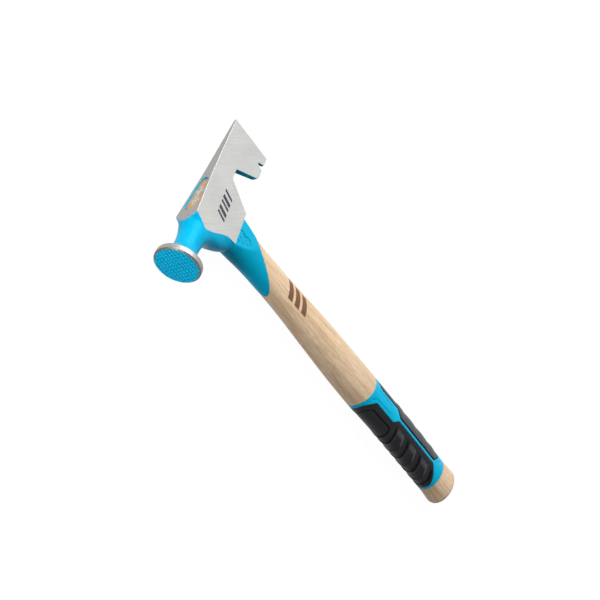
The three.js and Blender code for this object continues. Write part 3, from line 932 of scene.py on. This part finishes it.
def make_guard():
    """A sleeve with a rolled lower edge, its outside just proud of the wood."""
    proud, roll, full_shade = 0.12, 0.45, 0.4
    end = guard_end(ANGLES)
    rows, shades = [], []

    def ring(x, depth, shade=0.0):
        rows.append(on_handle(x, ANGLES, depth))
        shades.append(shade + np.zeros(AROUND))

    for step, depth in ((0, 0.3), (0.05, 0.12), (0.15, 0.0), (0.3, 0.08 - proud), (roll, -proud)):
        ring(end + step, depth)
    for t in np.linspace(0, 1, 96)[1:]:
        x = end + roll + (GUARD_TOP - end - roll) * t
        close = proud * ramp(x, GUARD_TOP - 1.5, GUARD_TOP)
        dent = dents(x, ANGLES)
        # painted shade: the deeper a dent, the darker it is painted
        ring(x, dent - proud + close, np.clip(dent / full_shade, 0, 1))
    for t in np.linspace(1, 0, 24):
        ring(end + (GUARD_TOP - end) * t, GUARD_WALL)
    shape = Shape()
    ids = shape.add(rows + rows[:1], np.array(shades + shades[:1]))
    shape.skin(ids, around=True)
    guard = shape.make("neck_guard", [DIPPED])
    settle(guard, 50, "overstrike_guard", "guard_blue")


# ---------------------------------------- grip


def line_distance(x, arc, points):
    """Distance in millimetres from points of the surface to a line of (x, angle) corners."""
    nearest = np.full(np.broadcast(x, arc).shape, np.inf)
    corners = as_arcs(points)
    for (ax, aa), (bx, ba) in zip(corners[:-1], corners[1:]):
        dx, da = bx - ax, ba - aa
        t = np.clip(((x - ax) * dx + (arc - aa) * da) / (dx * dx + da * da), 0, 1)
        nearest = np.minimum(nearest, np.hypot(x - ax - t * dx, arc - aa - t * da))
    return nearest


BASE_GROOVES = [
    [(127.5, 62), (123.9, 74), (103.5, 76)], [(124.4, 101), (103.9, 101)], [(32.9, 90), (26.7, 115)],
]
GROOVE_WIDTH, GROOVE_DEPTH = 0.38, 0.28
POCKETS = [(pad[0][0] - SEAM, pad[-1][0] + SEAM) for pad in (FRONT_PAD, BACK_PAD)]
POCKET_EDGE = 0.28                      # how far the edges of the pockets are rounded down


def base_relief(x, arc):
    """Fine grooves moulded into the blue base, the same on both sides."""
    total = np.zeros(np.broadcast(x, arc).shape)
    for line in BASE_GROOVES:
        distance = line_distance(x, np.abs(arc), line)
        total = np.maximum(total, GROOVE_DEPTH * np.exp(-((distance / GROOVE_WIDTH) ** 2)))
    return total


def edge_round(distance, width, depth):
    """How far a rounded edge has dropped at a distance from it."""
    return depth * np.clip(1 - distance / width, 0, 1) ** 2


def base_stations():
    """Places along the base: x, then for each pocket whether x crosses it and the bevel there."""
    def crossed(x):
        return [low < x < high for low, high in POCKETS]

    stations = []
    for x in [GRIP_LOW + 0.5, GRIP_LOW + 1.0, *np.arange(22.6, 130.6, 0.4)]:
        if min(abs(x - end) for pocket in POCKETS for end in pocket) > 0.36:
            stations.append((x, crossed(x), [0.0, 0.0]))
    for which, (low, high) in enumerate(POCKETS):
        for end, way in ((low, -1), (high, 1)):
            for gap, bevel in ((0.3, 0.0), (0.12, 0.1), (0.0, POCKET_EDGE)):
                x = end + way * gap
                inside, bevels = crossed(x), [0.0, 0.0]
                inside[which], bevels[which] = False, bevel
                stations.append((x, inside, bevels))
            x = end - way * 0.001
            stations.append((x, crossed(x), [0.0, 0.0]))
    return sorted(stations, key=lambda station: station[0])


def base_row(x, inside, bevels):
    """Points of the base from the front line round one side: x, angles, depths and shades, which paint
    shade into the moulded grooves.
    """
    start = arc_of(x, front_half(np.clip(x, *POCKETS[0]))) + SEAM
    end = arc_of(x, 180 - back_half(np.clip(x, *POCKETS[1]))) - SEAM
    across = np.linspace(0, 1, 7)
    strip = np.linspace(0, 1, 80)[1:-1]
    near = np.array([0, 0.12, 0.3, 0.55])
    wide = near[-1]
    floors, edges = [], []
    for pocket, bevel in zip(inside, bevels):
        floors.append(np.full(len(across), POCKET if pocket else bevel))
        edges.append(edge_round(near, 0.4, POCKET_EDGE) if pocket else bevel * (near < 0.2))
    arcs = np.concatenate([
        start * across, start + near, start + wide + (end - start - 2 * wide) * strip,
        end - near[::-1], end + (arc_of(x, 180) - end) * across,
    ])
    depths = np.concatenate([floors[0], edges[0], np.zeros(len(strip)), edges[1][::-1], floors[1]])
    # the grooves' depth also sets their painted shade
    relief = np.where(depths < POCKET, base_relief(x, arcs), 0)
    return x, angle_of(x, arcs), depths + relief, relief / GROOVE_DEPTH


def make_base():
    """The blue sleeve of the grip: pockets for the pads, rounded ends and a plain inner side."""
    rows = [base_row(*station) for station in base_stations()]
    first, last = rows[0], rows[-1]
    plain = np.zeros(len(first[1]))
    top = grip_end(last[1])
    low, high, inner = [], [], []
    for step, depth in ((0, 0.3), (0.08, 0.1), (0.25, 0.0)):
        low.append((GRIP_LOW + step, first[1], plain + depth, plain))
    for t in (0.12, 0.3, 0.5, 0.7, 0.85, 0.95):
        high.append((last[0] + (top - last[0]) * t, last[1], plain, plain))
    for step, depth in ((0.08, 0.08), (0, 0.3)):
        high.append((top - step, last[1], plain + depth, plain))
    for t in np.linspace(1, 0, 12):
        angles = last[1] * t + first[1] * (1 - t)
        inner.append((GRIP_LOW + (top - GRIP_LOW) * t, angles, plain + GRIP_WALL, plain))
    grid, shades = [], []
    for x, angles, depths, shade in low + rows + high + inner + low[:1]:
        side = on_handle(x, angles, depths)
        grid.append(np.concatenate([side, side[1:-1][::-1] * (1, 1, -1)]))
        shades.append(np.concatenate([shade, shade[1:-1][::-1]]))
    shape = Shape()
    ids = shape.add(grid, np.array(shades))
    shape.skin(ids, around=True)
    base = shape.make("grip_base", [PLASTIC])
    settle(base, 32, "grip_sleeve", "grip_blue")


def pad_shape(name, stations, half_at, behind, relief):
    """A pad with rounded edges; relief gives the depth and the shade of its surface."""
    low, high = stations[0][0], stations[-1][0]
    edge, step = np.array([0, 0.08, 0.2, 0.36, 0.55]), 0.33
    xs = np.concatenate([low + edge, np.arange(low + 0.85, high - 0.8, step), high - edge[::-1]])
    count = int(max(arc for x, arc in as_arcs(stations)) / step)
    top, under, shades = [], [], []
    for x in xs:
        total, half = arc_of(x, 180), half_at(x)
        reach = total - arc_of(x, 180 - half) if behind else arc_of(x, half)
        side = np.concatenate([np.linspace(0, reach - edge[-1], count), reach - edge[::-1][1:]])
        arcs = np.concatenate([-side[:0:-1], side])
        gap = np.minimum(reach - np.abs(arcs), min(x - low, high - x))
        if behind:
            turn = np.sign(arcs) * (180 - angle_of(x, total - np.abs(arcs)))
            angles = 180 + turn
        else:
            turn = angles = angle_of(x, arcs)
        depth, shade = relief(x, turn, arcs, gap)
        top.append(on_handle(x, angles, depth))
        under.append(on_handle(x, np.linspace(angles[0], angles[-1], 13), PAD_WALL))
        shades.append(shade)
    shape = Shape()
    ids, floor = shape.add(top, np.array(shades)), shape.add(under)
    shape.skin(ids)
    shape.skin(np.stack([floor[:, 0], ids[:, 0]], 1))
    shape.skin(np.stack([ids[:, -1], floor[:, -1]], 1))
    shape.skin(floor)
    for i in (0, -1):
        shape.bridge(floor[i], ids[i])
    return shape.make(name, [RUBBER])


PANEL = [(124.6, 22), (120.5, 43), (95.8, 45), (92.9, 28), (91.9, 0)]
CREASE = [(0, 83.0), (15, 83.5), (44, 86.4), (58, 89.0), (66, 90.9)]
RIDGE = [(0, 72.5), (27, 73.1), (57, 77.8), (64, 79.1), (65.5, 84), (66, 90.9)]
CRESCENT_PITCH = 19.2


def panel_distance(x, arc):
    """Signed distance to the edge of the front pad's upper panel, below zero inside it."""
    corners = as_arcs(PANEL)
    arc = np.abs(arc)
    gap = x - PANEL[0][0]
    for (ax, aa), (bx, ba) in zip(corners[:-1], corners[1:]):
        dx, da = bx - ax, ba - aa
        gap = np.maximum(gap, ((arc - aa) * -dx + (x - ax) * da) / math.hypot(dx, da))
    return gap


def front_relief(x, turn, arc, gap):
    """Depth and shade of the front pad: a sunk panel above, three hollow crescent lobes below; shade is
    painted into the panel's groove, along the edges and down the crescents, and highlights are painted
    along each lobe's ridge and over its upper end.
    """
    panel = panel_distance(x, arc)
    border = np.exp(-(((panel + 0.1) / 0.45) ** 2))
    depth = edge_round(gap, 0.45, 0.3) + 0.03 + 0.32 * ramp(-panel, -0.1, 0.6) + 0.75 * border
    # painted shade in the panel's groove and along the pad's edges
    shade = 1.3 * border + 0.5 * ramp(0.5 - gap, 0, 0.5)
    angle = np.abs(turn)
    crease = np.interp(angle, *np.array(CREASE, float).T)
    ridge = np.interp(angle, *np.array(RIDGE, float).T)
    strength = np.interp(angle, [0, 12, 30, 50, 62, 66, 67], [0.25, 0.5, 1.2, 1.35, 0.9, 0.2, 0])
    for i in range(-1, 3):
        upper = ridge - CRESCENT_PITCH * i if i >= 0 else np.full_like(ridge, 92.2)
        lower = crease - CRESCENT_PITCH * (i + 1)
        if i == 2:
            lower = np.maximum(lower, 27.5)
        t = (upper - x) / np.maximum(upper - lower, 0.3)
        inside = (t > 0) & (x > lower - 0.9)
        slope = np.clip(t, 0, 1) ** 1.25
        wall = ramp(x - lower, -0.7, 0.1)
        fade = ramp(upper - lower, 0.3, 2.5)
        drop = np.where(inside, slope * wall * fade, 0)
        depth = depth + strength * drop
        # painted shade down each crescent
        shade = shade + 0.75 * drop ** 1.4 * ramp(66 - angle, 0, 5)
    for i in range(3):                   # each lobe is hollow between its start and its ridge
        low, high = ridge - CRESCENT_PITCH * i, crease - CRESCENT_PITCH * i
        hollow = ramp(x, low, low + 2.4) * (1 - ramp(x, high - 3.5, high))
        depth = depth + 0.5 * hollow * ramp(66 - angle, 0, 9)
        # painted highlights: a line along each lobe's ridge and a patch over its upper end
        line = np.exp(-(((x - low - 0.5) / 0.8) ** 2)) * ramp(angle, 22, 42) * ramp(67 - angle, 0, 3)
        patch = ramp(x, low - 0.5, low + 1) * (1 - ramp(x, high - 4, high - 0.5))
        patch = patch * ramp(angle, 42, 58) * ramp(66.5 - angle, 0, 2.5)
        shade = shade - 0.9 * np.maximum(line, 0.75 * patch)
    return depth, np.clip(shade, -1, 1)


def back_relief(x, turn, arc, gap):
    """Depth and shade of the rear pad: finger scallops, shade painted along its bevel and a highlight
    painted over its top; arc isn't needed here.
    """
    rise = ramp(x, 33, 41) * (1 - ramp(x, 93, 99))
    wave = np.abs(np.sin(np.pi * (x - SCALLOP_VALLEY) / SCALLOP_PITCH))
    raised = SCALLOP_HEIGHT * rise * wave * np.maximum(0, cos(np.clip(turn, -90, 90)))
    # painted shade along the bevel, painted highlight over the rest of the top
    shade = 1.1 * ramp(1.5 - gap, 0, 0.6) - 0.55 * ramp(gap, 1.2, 2.4)
    return edge_round(gap, 1.3, 0.55) + 0.02 - raised, np.clip(shade, -1, 1)


def make_pads():
    front = pad_shape("grip_front_pad", FRONT_PAD, front_half, False, front_relief)
    settle(front, 40, "grip_pad_front", "grip_black")
    back = pad_shape("grip_rear_pad", BACK_PAD, back_half, True, back_relief)
    settle(back, 40, "grip_pad_back", "grip_black")


# ---------------------------------------- stage


def in_view(tree):
    """One for rays from the camera, and for the mirrored and refracted rays that follow them."""
    path = tree.nodes.new("ShaderNodeLightPath")
    seen = path.outputs["Is Camera Ray"]
    for kind in ("Is Glossy Ray", "Is Transmission Ray"):
        most = tree.nodes.new("ShaderNodeMath")
        most.operation = "MAXIMUM"
        tree.links.new(seen, most.inputs[0])
        tree.links.new(path.outputs[kind], most.inputs[1])
        seen = most.outputs[0]
    return seen


def make_floor():
    """A pale table on which the tool rests by its face, its butt and its cutting edge."""
    butt_x, gap, reach = 10.0, 0.4, 4000
    low = np.array([
        (butt_x, offset_y(butt_x), -OVAL * half_width(butt_x)),
        (FACE_X, FACE_Y - 3, -FACE_RADIUS),
        (TOP, EDGE_Y, -EDGE_HALF),
    ])
    normal = np.cross(low[1] - low[0], low[2] - low[0])
    normal *= np.sign(normal[2]) / np.linalg.norm(normal)
    centre = low.mean(0) - normal * gap
    side = np.cross(normal, (0, 1, 0))
    side /= np.linalg.norm(side)
    other = np.cross(normal, side)
    square = ((-1, -1), (1, -1), (1, 1), (-1, 1))
    corners = [centre + reach * (a * side + b * other) for a, b in square]
    data = bpy.data.meshes.new("floor")
    data.from_pydata([tuple(c * MM) for c in corners], [], [(0, 1, 2, 3)])
    look = Look("white_table", Base_Color=(0.3, 0.3, 0.3), Roughness=0.9, Specular_IOR_Level=0.1)
    glow = look.node("ShaderNodeEmission")
    look.put(glow.inputs["Strength"], 1.22)
    blend = look.node("ShaderNodeMixShader")
    look.put(blend.inputs[0], look.math("MULTIPLY", in_view(look.tree), 0.8))
    look.put(blend.inputs[1], look.shader.outputs[0])
    look.put(blend.inputs[2], glow.outputs[0])
    look.put(look.end.inputs[0], blend.outputs[0])
    data.materials.append(look.material)
    placed("floor", data)


def make_world():
    """White wherever it is seen, and only a little light on the object."""
    world = bpy.data.worlds.new("studio")
    world.use_nodes = True
    tree = world.node_tree
    level = tree.nodes.new("ShaderNodeMapRange")
    level.inputs["To Min"].default_value = 0.15
    level.inputs["To Max"].default_value = 1.0
    tree.links.new(in_view(tree), level.inputs["Value"])
    back = tree.nodes["Background"]
    back.inputs["Color"].default_value = (1, 1, 1, 1)
    tree.links.new(level.outputs[0], back.inputs["Strength"])
    bpy.context.scene.world = world


def area(name, direction, distance, size, power, aim):
    """A round soft lamp that looks at aim from a direction."""
    data = bpy.data.lights.new(name, "AREA")
    data.shape = "DISK"
    data.size = size
    data.energy = power
    light = placed(name, data)
    way = Vector(direction).normalized()
    light.location = aim + way * distance
    light.rotation_euler = way.to_track_quat("Z", "Y").to_euler()


def make_lights():
    low, high = CAD_BOX
    middle = (Vector(low) + Vector(high)) / 2
    area("key", (0.5, -0.5, 0.78), 1.7, 1.6, 37, middle)
    area("fill", (0.75, 0.3, 0.6), 1.8, 1.2, 3, middle)
    area("face", (0.62, 0.75, 0.15), 0.35, 0.12, 0.7, Vector((FACE_X, FACE_Y, 0)) * MM)


def make_camera():
    data = bpy.data.cameras.new("camera")
    data.lens = 81.31
    data.sensor_width = 36
    camera = placed("camera", data)
    turn = Euler([math.radians(angle) for angle in (15.9958, -51.7059, -150.3605)])
    camera.matrix_world = Matrix.LocRotScale((0.76242, 0.61984, 0.61332), turn, None)
    bpy.context.scene.camera = camera


make_head()
make_handle()
make_wedges()
make_guard()
make_base()
make_pads()
make_floor()
make_world()
make_lights()
make_camera()
bpy.context.scene.view_settings.view_transform = "Standard"
